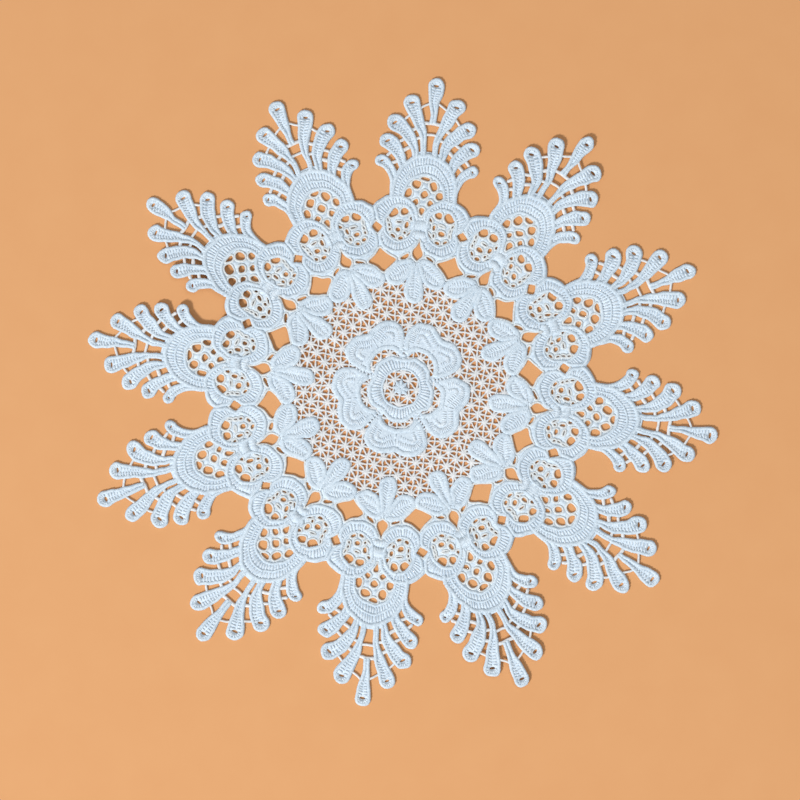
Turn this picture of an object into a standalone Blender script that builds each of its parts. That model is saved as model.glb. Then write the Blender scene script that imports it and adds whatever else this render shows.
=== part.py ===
"""A round white lace placemat about 38 cm across, lying flat on a table.

The real mat is one web of thread: twelve scalloped fans, each of nine fingers on an arch,
stand on a ring of twenty-four wheels, and leaf sprigs join that ring to a fine net with a
flower at its middle. It is modelled as one closed solid. The outline and the larger gaps
are cut through, the stitched bands rise above the ground, and the fine net stays whole.

Plan sizes are in millimetres on one fan that points along +V, with U across it, and each
fan is then turned and stretched a little, because no two on the mat lie quite alike.
"""

import math

import bpy
import numpy as np
from mathutils import Vector
from mathutils.geometry import delaunay_2d_cdt

MM = 0.001

# The layout of the whole mat.
FAN_COUNT = 12
FAN_STEP = 360.0 / FAN_COUNT
FIRST_FAN = 7.5  # heading of the first fan, in degrees clockwise from +Y
EVEN_RADIUS = 45.0  # inside this the mat lies true
WHEEL_RADIUS = 99.0
TIP_RADIUS = 191.2

# How each fan lies: its turn in degrees, and its reach at the wheels and at the tips.
FANS = (
    # turn, wheels, tips
    (-0.8, 0.997, 0.988),
    (-0.5, 0.994, 0.990),
    (0.0, 0.997, 0.997),
    (0.2, 1.000, 1.004),
    (-0.3, 0.998, 1.007),
    (-0.1, 0.993, 1.007),
    (0.4, 0.989, 1.001),
    (1.8, 0.997, 1.008),
    (2.2, 1.006, 1.012),
    (1.9, 1.010, 1.001),
    (-0.1, 1.016, 1.001),
    (-1.1, 1.006, 0.992),
)

# Heights of the top face.
GROUND = 1.0  # the net
RIM = 1.2  # the top of every cut edge
CREST = 2.1  # the middle of a stitched band

# Places where the lace stands a little off the table: plan point, spread and height.
LIFTS = (
    # x, y, spread, height
    (-118.0, 56.0, 26.0, 2.6),
    (104.0, 150.0, 30.0, 1.4),
    (60.0, -158.0, 34.0, 1.2),
    (168.0, -60.0, 28.0, 1.2),
    (-70.0, 28.0, 16.0, 0.9),
)

# The fingers of half a fan, from the middle one outwards: the round head, and two more
# points of the finger's middle line, halfway down and at its foot.
FINGERS = (
    # head_u, head_v, head_r, middle_u, middle_v, foot_u, foot_v
    (0.0, 186.4, 4.8, 0.0, 175.0, 0.0, 165.4),
    (13.6, 174.4, 5.1, 7.4, 160.4, 3.6, 144.0),
    (22.2, 161.2, 5.1, 12.6, 151.8, 8.2, 140.6),
    (25.6, 149.0, 4.3, 18.0, 140.8, 13.6, 132.6),
    (27.5, 136.2, 3.7, 21.6, 131.4, 18.4, 122.6),
)
HEAD_SPREAD = 100.0  # how far a head's round edge runs to each side of its finger's line

# Where the outline turns in between two heads, on the thread that ties them.
CLEFTS = (
    # u and v of each point, from the middle finger outwards
    ((3.4, 174.6), (7.9, 173.2)),
    ((16.0, 166.4),),
    ((20.4, 153.4),),
    ((24.2, 141.6),),
)

# The fan's flank below the last finger, down to the notch that it shares with the next fan.
FLANK = ((24.6, 132.0), (21.0, 127.0), (19.9, 120.8), (20.9, 116.2), (25.6, 112.9))
NOTCH_RADIUS = 112.1

# The gaps of one fan. Each is a ring of corners on an oval of the given size. The first
# corner points outwards, or a flat side does where flat is 1, and taper draws in the end
# that faces the mat's middle. A gap off the fan's own line is cut on both sides of it.
GAPS = (
    # name, u, v, across, along, turn, corners, flat, taper
    ("ladder_outer", 0.0, 159.0, 5.0, 5.4, 0.0, 4, 1, 0.1),
    ("ladder_inner", 0.0, 149.6, 3.4, 8.4, 0.0, 4, 1, 0.2),
    ("beside_middle_finger", 3.7, 168.2, 2.6, 7.6, 8.0, 4, 1, 0.1),
    ("fingers_one_two_outer", 11.1, 159.6, 2.1, 13.4, 28.0, 4, 1, 0.3),
    ("fingers_one_two_inner", 6.0, 148.0, 1.7, 7.8, 9.0, 4, 1, 0.2),
    ("fingers_two_three", 14.4, 145.0, 2.4, 13.2, 29.0, 4, 1, 0.1),
    ("fingers_three_four", 19.5, 136.0, 2.2, 10.6, 32.0, 4, 1, 0.1),
    ("dome_top", 0.0, 127.9, 5.2, 3.0, 0.0, 5, 1, 0.0),
    ("dome_upper", 5.2, 124.2, 5.2, 5.8, -20.0, 6, 0, 0.0),
    ("dome_side", 9.5, 118.7, 4.2, 5.2, -10.0, 5, 0, 0.0),
    ("dome_middle", 0.0, 118.6, 4.2, 4.4, 0.0, 6, 0, 0.0),
    ("wheel_outer", 17.3, 105.7, 6.2, 5.8, 40.0, 6, 0, 0.2),
    ("wheel_inner", 10.3, 106.9, 4.7, 4.9, 0.0, 5, 1, 0.0),
)

# The three gaps whose sides are drawn in: half the width at each distance from the middle.
KITE = ((90.4, 0.0), (86.4, 1.4), (82.4, 3.3), (80.6, 3.0), (78.0, 0.0))
DIAMOND = ((86.0, 0.0), (82.2, 3.6), (78.3, 8.2), (71.9, 0.0))
SQUARE = ((102.4, 0.0), (99.0, 3.3), (95.6, 0.0))

# The arch that carries the fingers, and the wheels that carry the arch.
ARCH_CENTRE = 117.8
ARCH_CREST = (16.6, 20.6)
WHEEL_CENTRE = (13.4, 98.9)
WHEEL_CREST = 14.2
WHEEL_CREST_AT = (5.0, 45.0, 150.0, 185.0, 225.0, 315.0)
HUB_CENTRE = (13.1, 95.8)
KNOT = (0.0, 98.4)  # where a fan's two wheels are stitched over each other

# The leaf sprigs: the crests of the middle leaf and of a side leaf, and the net beside them.
LEAF_CRESTS = (((0.0, 71.0), (0.0, 57.4)), ((4.6, 72.8), (12.6, 66.6)))
NET_BY_LEAVES = ((0.0, 50.8), (7.4, 56.6))

# The flower at the middle. A petal has two lobes, so its edge and its crest are given for
# one lobe, as degrees from the petal's heading and distance from the flower's middle.
FLOWER_CENTRE = (0.0, 1.2)
PETAL_HEADINGS = (-30.5, 40.5, 112.8, 185.8, 258.0)
PETAL_EDGE = ((-34.0, 33.0), (-26.0, 39.6), (-12.0, 41.4), (0.0, 38.4))
PETAL_CREST = ((-22.0, 32.0), (0.0, 31.0))
RING_CREST = 15.6
RING_INNER = 10.8
HUB_HEIGHT = 1.6


def unevenness(heading, radius):
    """The turn in degrees and the reach of the mat at a plan point, eased between fans."""
    place = (heading - FIRST_FAN) / FAN_STEP
    low = math.floor(place)
    ease = 0.5 - 0.5 * math.cos(math.pi * (place - low))
    here, beyond = FANS[low % FAN_COUNT], FANS[(low + 1) % FAN_COUNT]
    turn, wheels, tips = (a + (b - a) * ease for a, b in zip(here, beyond))
    if radius < WHEEL_RADIUS:
        share = max(0.0, (radius - EVEN_RADIUS) / (WHEEL_RADIUS - EVEN_RADIUS))
        return turn * share, 1.0 + (wheels - 1.0) * share
    share = (radius - WHEEL_RADIUS) / (TIP_RADIUS - WHEEL_RADIUS)
    return turn, wheels + (tips - wheels) * share


def on_mat(fan, u, v):
    """The plan point, in millimetres, of a point (u, v) of one fan."""
    radius = math.hypot(u, v)
    heading = FIRST_FAN + FAN_STEP * fan + math.degrees(math.atan2(u, v))
    turn, reach = unevenness(heading, radius)
    angle = math.radians(heading + turn)
    return radius * reach * math.sin(angle), radius * reach * math.cos(angle)


def between_fans(offset, radius):
    """A point beside the line that two fans share, as (u, v) of the first of them."""
    half = math.radians(FAN_STEP / 2)
    u = offset * math.cos(half) + radius * math.sin(half)
    v = radius * math.cos(half) - offset * math.sin(half)
    return u, v


def lift(x, y):
    """How far the lace stands off the table at a plan point."""
    total = 0.0
    for at_x, at_y, spread, height in LIFTS:
        share = 1.0 - math.hypot(x - at_x, y - at_y) / (2.0 * spread)
        if share > 0.0:
            total += height * share * share * (3.0 - 2.0 * share)
    return total


def head_edge(finger):
    """The round end of a finger, from the side that faces the fan's flank to the other."""
    head_u, head_v, head_r, middle_u, middle_v, _, _ = finger
    lean = math.degrees(math.atan2(head_u - middle_u, head_v - middle_v))
    steps = 4 if head_r > 4.0 else 3
    edge = []
    for step in range(steps + 1):
        angle = math.radians(lean + HEAD_SPREAD * (1.0 - 2.0 * step / steps))
        edge.append((head_u + head_r * math.sin(angle), head_v + head_r * math.cos(angle)))
    return edge


def half_outline():
    """The outline of the right half of a fan, from its flank up to the middle finger."""
    points = list(reversed(FLANK))
    for finger, cleft in reversed(list(zip(FINGERS[1:], CLEFTS))):
        points += head_edge(finger)
        points += reversed(cleft)
    middle = head_edge(FINGERS[0])
    return points + middle[: len(middle) // 2]


def fan_outline(fan):
    """One fan's part of the outline, from its left-hand notch round to its right flank."""
    right = half_outline()
    tip = (FINGERS[0][0], FINGERS[0][1] + FINGERS[0][2])
    left = [(-u, v) for u, v in right]
    notch = between_fans(0.0, NOTCH_RADIUS)
    chain = [(-notch[0], notch[1])] + left + [tip] + right[::-1]
    return [on_mat(fan, u, v) for u, v in chain]


def gap_ring(row, side):
    """The corners of a gap on its oval, mirrored where side is -1."""
    _, u, v, across, along, turn, corners, flat, taper = row
    lean = math.radians(turn)
    reach = 1.0 / math.cos(math.pi / corners) if flat and corners == 4 else 1.06
    ring = []
    for corner in range(corners):
        angle = 2.0 * math.pi * (corner + 0.5 * flat) / corners
        outwards = math.cos(angle) * along / 2 * reach
        width = across / 2 * reach * (1.0 + taper * outwards / along)
        sideways = math.sin(angle) * width
        at_u = u + sideways * math.cos(lean) + outwards * math.sin(lean)
        at_v = v + outwards * math.cos(lean) - sideways * math.sin(lean)
        ring.append((side * at_u, at_v))
    return ring


def drawn_ring(rows, place):
    """A gap with drawn-in sides, from rows of (distance, half width)."""
    right = [place(half, radius) for radius, half in rows]
    left = [place(-half, radius) for radius, half in rows[-2:0:-1]]
    return right + left


def fan_gaps(fan):
    """Every gap of one fan, as rings of plan points."""
    rings = []
    for row in GAPS:
        sides = (1,) if row[1] == 0.0 else (1, -1)
        rings += [gap_ring(row, side) for side in sides]
    rings.append(drawn_ring(KITE, lambda offset, radius: (offset, radius)))
    rings.append(drawn_ring(DIAMOND, between_fans))
    rings.append(drawn_ring(SQUARE, between_fans))
    return [[on_mat(fan, u, v) for u, v in ring] for ring in rings]


def fan_relief(fan):
    """The raised lines of one fan and the net beside them, as (point, height) chains."""
    chains = []
    for head_u, head_v, _, middle_u, middle_v, foot_u, foot_v in FINGERS:
        for side in (1, -1) if head_u else (1,):
            line = ((head_u, head_v), (middle_u, middle_v), (foot_u, foot_v))
            chains.append([(side * u, v, CREST) for u, v in line])
    arch = []
    for step in range(-3, 4):
        angle = math.radians(31.0 * step)
        u = ARCH_CREST[0] * math.sin(angle)
        arch.append((u, ARCH_CENTRE + ARCH_CREST[1] * math.cos(angle), CREST))
    chains.append(arch)
    for side in (1, -1):
        for angle in WHEEL_CREST_AT:
            u = WHEEL_CENTRE[0] + WHEEL_CREST * math.sin(math.radians(angle))
            v = WHEEL_CENTRE[1] + WHEEL_CREST * math.cos(math.radians(angle))
            chains.append([(side * u, v, CREST)])
        chains.append([(side * HUB_CENTRE[0], HUB_CENTRE[1], CREST)])
        chains.append([(side * u, v, CREST) for u, v in LEAF_CRESTS[1]])
        chains.append([(side * NET_BY_LEAVES[1][0], NET_BY_LEAVES[1][1], GROUND)])
    chains.append([(*KNOT, CREST)])
    chains.append([(u, v, CREST) for u, v in LEAF_CRESTS[0]])
    chains.append([(*NET_BY_LEAVES[0], GROUND)])
    return [[(*on_mat(fan, u, v), z) for u, v, z in chain] for chain in chains]


def flower_relief():
    """The petals, the ring inside them and the hub, as (point, height) chains."""

    def point(heading, radius, height):
        angle = math.radians(heading)
        x = FLOWER_CENTRE[0] + radius * math.sin(angle)
        return x, FLOWER_CENTRE[1] + radius * math.cos(angle), height

    edge, crest, ring, inner = [], [], [], []
    for heading in PETAL_HEADINGS:
        for offset, radius in PETAL_EDGE:
            edge.append(point(heading + offset, radius, GROUND))
            if offset:
                edge.append(point(heading - offset, radius, GROUND))
        for offset, radius in PETAL_CREST:
            crest.append(point(heading + offset, radius, CREST))
            if offset:
                crest.append(point(heading - offset, radius, CREST))
        for offset in (-18.0, 18.0):
            ring.append(point(heading + offset, RING_CREST, CREST))
            inner.append(point(heading + offset, RING_INNER, GROUND))
    hub = [point(0.0, 0.0, HUB_HEIGHT)]
    return [[place] for place in edge + crest + ring + inner + hub]


def signed_area(ring):
    return 0.5 * sum(
        ring[i - 1][0] * ring[i][1] - ring[i][0] * ring[i - 1][1] for i in range(len(ring))
    )


def inside(points, rings):
    """Which points lie on the material: an even-odd test against every edge of the plan."""
    start = np.concatenate([np.array(ring) for ring in rings])
    end = np.concatenate([np.roll(np.array(ring), -1, axis=0) for ring in rings])
    found = []
    for x, y in points:
        spans = (start[:, 1] > y) != (end[:, 1] > y)
        a, b = start[spans], end[spans]
        cross = a[:, 0] + (y - a[:, 1]) * (b[:, 0] - a[:, 0]) / (b[:, 1] - a[:, 1])
        found.append(int((cross > x).sum()) % 2 == 1)
    return found


def triangulate(rings, chains):
    """Triangles over the material between the rings, with the chains as their edges."""
    points, edges = [], []
    for ring in rings:
        first = len(points)
        points += ring
        edges += [(first + i, first + (i + 1) % len(ring)) for i in range(len(ring))]
    for chain in chains:
        first = len(points)
        points += [(x, y) for x, y, _ in chain]
        edges += [(first + i, first + i + 1) for i in range(len(chain) - 1)]
    flat = [Vector(point) for point in points]
    made, _, faces, sources, _, _ = delaunay_2d_cdt(flat, edges, [], 0, 1e-5)
    if len(made) != len(points):
        raise ValueError("two lines of the plan cross or meet")
    middles = [sum((made[i] for i in face), Vector((0.0, 0.0))) / len(face) for face in faces]
    kept = inside(middles, rings)
    return [[sources[i][0] for i in face] for face, keep in zip(faces, kept) if keep]


def lace_mesh():
    """The closed solid: a top face with its relief, a plain underside and the cut walls."""
    outline = [point for fan in range(FAN_COUNT) for point in fan_outline(fan)]
    rings = [outline] + [ring for fan in range(FAN_COUNT) for ring in fan_gaps(fan)]
    # The outline runs anticlockwise and the gaps clockwise, so that every wall faces out.
    for index, ring in enumerate(rings):
        if (signed_area(ring) > 0) != (index == 0):
            ring.reverse()
    chains = [chain for fan in range(FAN_COUNT) for chain in fan_relief(fan)]
    chains += flower_relief()

    points = [(x, y, RIM) for ring in rings for x, y in ring]
    rim_count = len(points)
    points += [place for chain in chains for place in chain]
    top = [(x, y, z + lift(x, y)) for x, y, z in points]
    under = [(x, y, lift(x, y)) for x, y, _ in points[:rim_count]]

    faces = triangulate(rings, chains)
    faces += [[len(top) + i for i in reversed(face)] for face in triangulate(rings, [])]
    first = 0
    for ring in rings:
        for i in range(len(ring)):
            a, b = first + i, first + (i + 1) % len(ring)
            faces.append([len(top) + a, len(top) + b, b, a])
        first += len(ring)

    low = [min(place[axis] for place in top) for axis in (0, 1)]
    high = [max(place[axis] for place in top) for axis in (0, 1)]
    middle = Vector(((low[0] + high[0]) / 2, (low[1] + high[1]) / 2, 0.0))
    mesh = bpy.data.meshes.new("lace_mat")
    mesh.from_pydata([(Vector(place) - middle) * MM for place in top + under], [], faces)
    mesh.validate()
    mesh.shade_smooth()
    mesh.set_sharp_from_angle(angle=math.radians(50.0))
    return mesh


def white_thread():
    """Matt white polyester embroidery thread, very slightly cool."""
    material = bpy.data.materials.new("white_thread")
    material.use_nodes = True
    shader = material.node_tree.nodes["Principled BSDF"]
    shader.inputs["Base Color"].default_value = (0.78, 0.84, 0.88, 1.0)
    shader.inputs["Roughness"].default_value = 0.7
    shader.inputs["Metallic"].default_value = 0.0
    material.diffuse_color = (0.78, 0.84, 0.88, 1.0)
    return material


def main():
    for item in list(bpy.data.objects):
        bpy.data.objects.remove(item, do_unlink=True)
    mesh = lace_mesh()
    mesh.materials.append(white_thread())
    mat = bpy.data.objects.new("lace_mat", mesh)
    bpy.context.scene.collection.objects.link(mat)


if __name__ == "__main__":
    main()
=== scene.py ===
"""A round white lace placemat, stitched by machine in polyester thread, lying on a table.

Plan sizes are in millimetres. One fan of the mat points along +v, with u across it, and each
fan is laid on the mat a little turned and stretched, as the real ones are.
"""

import math

import bmesh
import bpy
import numpy as np
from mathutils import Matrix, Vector
from mathutils.geometry import delaunay_2d_cdt


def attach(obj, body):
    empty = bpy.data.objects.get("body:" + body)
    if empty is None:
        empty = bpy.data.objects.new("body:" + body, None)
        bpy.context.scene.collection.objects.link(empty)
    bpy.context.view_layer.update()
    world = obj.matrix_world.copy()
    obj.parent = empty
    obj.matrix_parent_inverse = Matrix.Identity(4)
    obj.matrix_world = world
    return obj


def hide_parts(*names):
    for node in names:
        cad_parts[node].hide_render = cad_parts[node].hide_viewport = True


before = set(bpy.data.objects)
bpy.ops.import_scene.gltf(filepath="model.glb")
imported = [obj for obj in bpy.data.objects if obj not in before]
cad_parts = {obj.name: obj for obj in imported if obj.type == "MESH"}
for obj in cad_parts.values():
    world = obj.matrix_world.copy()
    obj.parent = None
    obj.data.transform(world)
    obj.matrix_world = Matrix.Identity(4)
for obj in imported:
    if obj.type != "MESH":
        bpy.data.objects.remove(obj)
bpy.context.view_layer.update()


# The stitched ground.
# The closed web that carries all the bands: fingers, arches, wheels, leaves and petals.
# It is polyester thread stitched to and fro over a film that is washed away afterwards,
# so it is one dense sheet with clean holes, and it lies on the table but for a few swells.

MM = 0.001
# Headings are degrees from +y towards +x. The fans are even up to the first of these radii.
FAN_COUNT, FAN_STEP, FIRST_FAN = 12, 30.0, 7.5
EVEN_RADIUS, WHEEL_RADIUS, TIP_RADIUS = 45.0, 99.0, 191.2
# How each fan lies: its turn in degrees, its reach at the wheels and at the tips, and by how
# many degrees its fingers lean to one side at the tips.
FANS = np.array((
    (-0.8, 0.997, 0.985, 0.0), (-0.5, 0.994, 0.990, 0.0), (0.0, 0.997, 0.997, 0.0),
    (0.2, 1.000, 1.004, 0.6), (-0.3, 0.998, 1.010, -0.2), (-0.1, 0.993, 1.007, 0.0),
    (0.4, 0.989, 1.001, -0.9), (1.8, 0.997, 1.008, -0.3), (2.2, 1.006, 1.012, 0.0),
    (1.9, 1.010, 0.993, 0.0), (-0.1, 1.016, 0.993, -0.6), (-1.1, 1.006, 0.987, -0.3),
))
MAT_MIDDLE = np.array((-0.706, 0.980))
# Places where the lace stands off the table: plan point, spread and height.
LIFTS = (
    (-118.0, 56.0, 26.0, 2.6),
    (104.0, 150.0, 30.0, 1.4),
    (60.0, -158.0, 34.0, 1.2),
    (168.0, -60.0, 28.0, 1.2),
    (-70.0, 28.0, 16.0, 0.9),
)
# Heights of the ground's underside and top, and how much more its padded places rise.
GROUND_UNDER, GROUND_TOP, PADDING = 0.05, 1.1, 0.25
# How far apart the points of the edges are.
BAND_STEP, LEAF_STEP, PAD_STEP, HOLE_STEP, SLIT_STEP = 1.4, 1.3, 1.5, 0.9, 0.7

# The fingers of a fan's right half, the middle one first: points of each finger's line from
# its foot to the middle of its round head, with half its width there.
FINGERS = (
    ((0.0, 162.4, 2.0), (0.0, 168.5, 2.1), (0.0, 174.5, 3.0), (0.0, 180.5, 4.1),
     (0.0, 186.3, 4.9)),
    ((3.6, 140.0, 1.7), (3.9, 148.0, 1.7), (4.6, 153.5, 2.0), (6.2, 158.8, 2.8),
     (9.7, 166.3, 4.0), (13.6, 174.3, 5.1)),
    ((7.6, 138.0, 2.0), (8.6, 143.0, 2.1), (9.4, 147.0, 2.7), (11.3, 151.0, 3.5),
     (14.3, 155.0, 4.2), (17.8, 158.5, 4.6), (22.0, 161.2, 5.1)),
    ((12.6, 130.0, 2.0), (14.0, 134.5, 2.5), (15.9, 139.0, 3.0), (18.5, 142.8, 3.7),
     (21.7, 146.4, 4.3), (25.3, 149.0, 4.6)),
    ((18.2, 118.0, 2.2), (18.6, 125.0, 2.4), (20.4, 129.8, 2.9), (22.8, 133.0, 3.3),
     (25.2, 135.0, 3.6), (27.6, 136.0, 3.8)),
)
# The web between the fingers' feet, on top of the arch.
FEET = ((-9.5, 140.0), (-6.6, 143.9), (-3.6, 145.2), (3.6, 145.2), (6.6, 143.9), (9.5, 140.0))

# The holes of half a fan, each an oval turned by its lean. Square is 2 for an oval and more
# for a hole with corners, and taper draws in the end that faces the mat's middle.
HOLES = (
    # u, v, across, along, lean, square, taper
    (0.0, 128.1, 5.6, 3.0, 0.0, 2.2, 0.5),
    (5.1, 124.2, 4.9, 5.8, -22.0, 2.4, 0.1),
    (9.5, 118.6, 4.2, 5.4, -8.0, 2.3, -0.3),
    (0.0, 118.6, 4.3, 4.4, 45.0, 2.6, 0.0),
    (4.4, 113.6, 3.7, 3.3, 40.0, 2.6, 0.3),
    (0.0, 108.4, 3.4, 5.6, 0.0, 2.0, 1.2),
    (17.0, 105.6, 6.0, 5.5, 40.0, 2.3, 0.1),
    (10.5, 106.9, 4.9, 4.6, 10.0, 2.4, 0.2),
    (5.2, 104.0, 4.0, 2.2, 48.0, 2.2, 0.0),
    (12.6, 100.5, 3.6, 0.9, 12.0, 2.0, 0.0),
    (19.3, 101.2, 0.9, 2.6, 24.0, 2.0, 0.0),
    (18.2, 98.3, 1.0, 2.4, 14.0, 2.0, 0.0),
    (17.7, 95.3, 1.2, 2.4, 4.0, 2.0, 0.0),
    (8.1, 99.2, 2.2, 3.8, -4.0, 2.3, 0.0),
    (8.4, 94.4, 1.5, 2.2, 10.0, 2.0, 0.0),
    (5.9, 94.0, 0.9, 4.2, -42.0, 2.0, 0.0),
    (15.6, 91.2, 2.8, 1.9, -28.0, 2.3, 0.0),
    (11.0, 90.4, 3.3, 2.0, 14.0, 2.3, 0.0),
    (12.9, 95.6, 3.5, 3.1, 0.0, 2.2, 0.0),
    (7.6, 79.8, 5.6, 2.2, 35.0, 2.4, 0.0),
)
# The three holes with drawn-in sides: half the width at each distance from the middle. The
# kite is on the fan's own line, the other two are on the line between two fans.
KITE = ((91.4, 0.0), (88.6, 0.8), (86.4, 1.8), (83.4, 3.3), (80.8, 2.8), (78.6, 0.0))
DIAMOND = ((86.2, 0.0), (82.2, 3.6), (78.4, 8.4), (75.0, 4.4), (71.7, 0.0))
SQUARE = ((102.5, 0.0), (99.0, 3.4), (95.5, 0.0))
# The slit in a finger's head of full half width. It turns by a share of its finger's turn.
EYELET, FULL_HEAD, EYELET_TURN = (3.3, 1.5), 4.9, 0.65

# The arch is an oval on the fan's own line, and the wheels are two rounds beside it.
ARCH_MIDDLE, ARCH_EDGE = 117.8, (20.4, 25.6)
WHEEL_MIDDLE, WHEEL_EDGE = (13.4, 98.9), 18.1
# The edges of a sprig's middle leaf and of its right one, and the width of their flat borders.
MIDDLE_LEAF = (
    (0.0, 78.0), (2.0, 77.0), (3.2, 72.5), (4.6, 66.5), (5.7, 60.5), (5.2, 56.4), (3.0, 53.4),
    (0.0, 52.5), (-3.0, 53.4), (-5.2, 56.4), (-5.7, 60.5), (-4.6, 66.5), (-3.2, 72.5),
    (-2.0, 77.0),
)
SIDE_LEAF = (
    (0.8, 77.8), (5.6, 79.4), (10.6, 77.6), (14.4, 74.0), (17.4, 70.0), (18.0, 66.4),
    (15.6, 63.0), (11.4, 62.0), (7.2, 63.6), (4.2, 67.0), (2.2, 72.0),
)
LEAF_BORDER = 2.4
# Where the wheels are tied to the leaves, below the wheels and beside the kite.
TIES = ((0.0, 92.0), (24.4, 92.0), (22.4, 84.0), (18.0, 70.0), (0.0, 76.0))

# The flower: its middle, the heading of each petal, and the edge of half a petal, as degrees
# from that heading and distance.
FLOWER_MIDDLE = np.array((0.0, 1.2))
PETALS = (-30.5, 40.5, 112.8, 185.8, 258.0)
PETAL_EDGE = (
    (0.0, 38.4), (5.0, 39.8), (12.5, 41.5), (19.0, 41.4), (25.0, 40.4), (30.0, 37.6),
    (33.2, 34.0), (34.8, 30.0), (35.6, 25.0), (35.9, 20.0),
)
# The open crescent at the foot of a petal.
CRESCENT = (
    (0.0, 24.9), (4.4, 24.0), (7.4, 21.6), (9.2, 18.2), (8.9, 16.8), (7.8, 17.2), (6.0, 19.2),
    (3.2, 20.4), (0.0, 20.7), (-3.2, 20.4), (-6.0, 19.2), (-7.8, 17.2), (-8.9, 16.8),
    (-9.2, 18.2), (-7.4, 21.6), (-4.4, 24.0),
)
# Half of the line where a petal's broad border ends. Inside it the petal is padded.
PETAL_CONTOUR = (
    (0.0, 34.5), (4.6, 36.2), (9.6, 37.4), (14.0, 35.8), (16.9, 31.8), (16.6, 27.6),
    (14.4, 23.2), (11.6, 19.4), (10.4, 20.0), (8.4, 23.4), (4.8, 25.8), (0.0, 26.7),
)
# Headings of the seams between the petals, and the pinholes on a seam: distance and width.
SEAMS = [(one + other) / 2 for one, other in zip(PETALS, PETALS[1:] + (PETALS[0] + 360.0,))]
SEAM_HOLES = ((16.4, 0.9), (21.4, 0.9), (24.0, 0.9), (26.6, 1.1), (29.2, 1.5))
# The round under the petals, the open eye in it, and the hub in the middle of the eye.
HEART_RADIUS, EYE_RADIUS, HUB_RADIUS = 20.0, 10.9, 3.9


def smooth_line(points, step, closed=False):
    """A smooth line through the points, with a point about every step millimetres."""
    points = np.array(points, float)
    before, after = 2 * points[:1] - points[1:2], 2 * points[-1:] - points[-2:-1]
    if closed:
        before, after = points[-1:], points[:2]
    run = np.concatenate((before, points, after))
    share = np.linspace(0.0, 1.0, num=12, endpoint=False)[:, None]
    parts = []
    for a, b, c, d in zip(run, run[1:], run[2:], run[3:]):
        bend = (2 * a - 5 * b + 4 * c - d) * share**2 + (3 * b - a - 3 * c + d) * share**3
        parts.append(0.5 * (2 * b + (c - a) * share + bend))
    parts.append(points[:1] if closed else points[-1:])
    curve = np.concatenate(parts)
    lengths = np.linalg.norm(np.diff(curve[:, :2], axis=0), axis=1)
    along = np.concatenate(([0.0], np.cumsum(lengths)))
    at = np.linspace(0.0, along[-1], max(4, round(along[-1] / step)) + 1)
    line = np.column_stack([np.interp(at, along, column) for column in curve.T])
    return line[:-1] if closed else line


def left_of(line, closed=False):
    """The unit direction to the left of a plan line at each of its points."""
    run = np.roll(line, -1, 0) - np.roll(line, 1, 0) if closed else np.gradient(line, axis=0)
    return np.column_stack((-run[:, 1], run[:, 0])) / np.hypot(run[:, 0], run[:, 1])[:, None]


def on_mat(fan, plan):
    """The plan points (u, v) of one fan, where they lie on the mat."""
    radius = np.hypot(plan[:, 0], plan[:, 1])
    heading = FIRST_FAN + FAN_STEP * fan + np.degrees(np.arctan2(plan[:, 0], plan[:, 1]))
    place = (heading - FIRST_FAN) / FAN_STEP
    low = np.floor(place).astype(int)
    ease = (0.5 - 0.5 * np.cos(np.pi * (place - low)))[:, None]
    lay = FANS[low % FAN_COUNT] * (1.0 - ease) + FANS[(low + 1) % FAN_COUNT] * ease
    turn, wheels, tips, lean = lay.T
    inner = np.clip((radius - EVEN_RADIUS) / (WHEEL_RADIUS - EVEN_RADIUS), 0.0, 1.0)
    outer = np.clip((radius - WHEEL_RADIUS) / (TIP_RADIUS - WHEEL_RADIUS), 0.0, None)
    reach = 1.0 + (wheels - 1.0) * inner + (tips - wheels) * outer
    angle = np.radians(heading + turn * inner + lean * outer)
    placed = np.column_stack((np.sin(angle), np.cos(angle))) * (radius * reach)[:, None]
    return strayed(placed + MAT_MIDDLE)


def on_every_fan(plan):
    return [on_mat(fan, plan) for fan in range(FAN_COUNT)]


def in_flower(heading, plan):
    """Plan points (u, v) of one petal, where they lie on the mat."""
    angle = math.radians(heading)
    x = plan[:, 0] * math.cos(angle) + plan[:, 1] * math.sin(angle)
    y = plan[:, 1] * math.cos(angle) - plan[:, 0] * math.sin(angle)
    return strayed(np.column_stack((x, y)) + FLOWER_MIDDLE + MAT_MIDDLE)


def between_fans(line):
    """Rows of (offset, distance) beside the line between two fans, as plan points (u, v)."""
    half = math.radians(FAN_STEP / 2)
    u = line[:, 0] * math.cos(half) + line[:, 1] * math.sin(half)
    return np.column_stack((u, line[:, 1] * math.cos(half) - line[:, 0] * math.sin(half)))


def lift(plan):
    """How far the lace stands off the table at plan points of the mat."""
    total = np.zeros(len(plan))
    for x, y, spread, height in LIFTS:
        far = np.hypot(plan[:, 0] - x - MAT_MIDDLE[0], plan[:, 1] - y - MAT_MIDDLE[1])
        share = np.clip(1.0 - far / (2.0 * spread), 0.0, 1.0)
        total += height * share**2 * (3.0 - 2.0 * share)
    return total


# The lace never lies quite true. These waves shift each place by about a third of a
# millimetre, and they bend a little themselves, by sines of the two lengths below.
STRAY = (
    # wavelength, direction in degrees, start in radians, size
    (9.0, 20.0, 0.3, 0.13),
    (11.0, 95.0, 1.9, 0.14),
    (14.0, 150.0, 4.0, 0.15),
    (19.0, 60.0, 2.2, 0.17),
    (27.0, 125.0, 5.1, 0.18),
    (7.5, 170.0, 3.3, 0.11),
)
STRAY_BEND, BEND_LENGTHS, CROSS_RATE = 0.7, (15.0, 17.0), 1.13


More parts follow.
